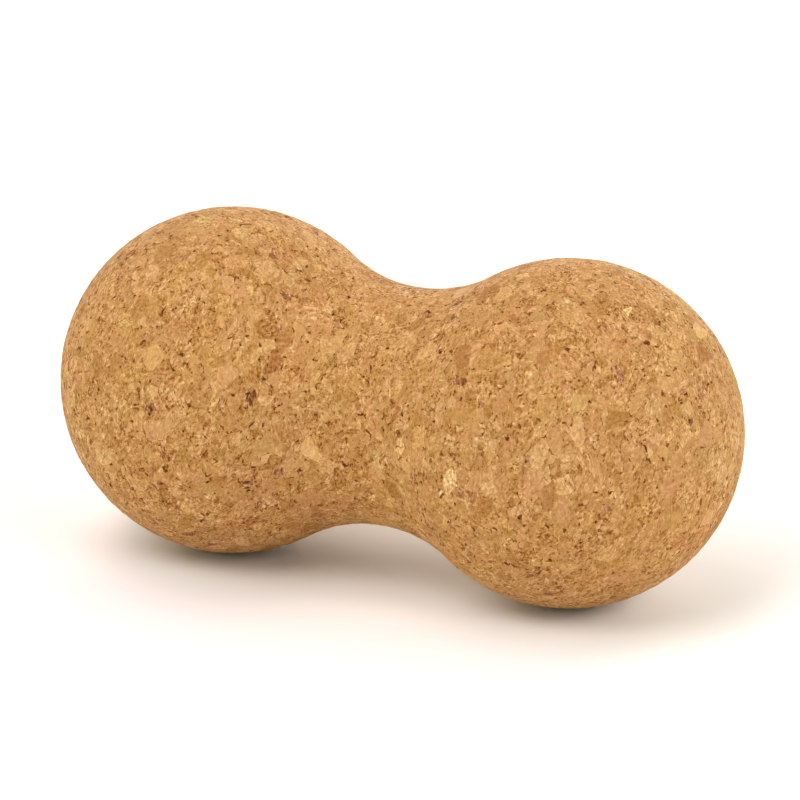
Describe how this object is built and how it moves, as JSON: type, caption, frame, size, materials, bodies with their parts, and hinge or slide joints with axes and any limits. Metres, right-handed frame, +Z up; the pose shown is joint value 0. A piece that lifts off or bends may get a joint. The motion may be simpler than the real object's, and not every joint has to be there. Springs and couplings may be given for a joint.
{
  "type": "massage ball",
  "caption": "Peanut-shaped massage ball of pressed cork: twin round lobes joined by a smooth hollow waist, for rolling along the back, neck, legs and feet.",
  "frame": {"origin": "on the floor midway between the two lobes, straight below the middle of the waist", "axes": "+X along the long axis, through both lobe centres; +Z up, with the ball lying on both lobes"},
  "size_m": [0.165, 0.0798, 0.0799],
  "materials": {
    "cork": "matte agglomerated cork, turned and finely sanded"
  },
  "bodies": {
    "root": {"cork_body": "cork"}
  },
  "joints": []
}
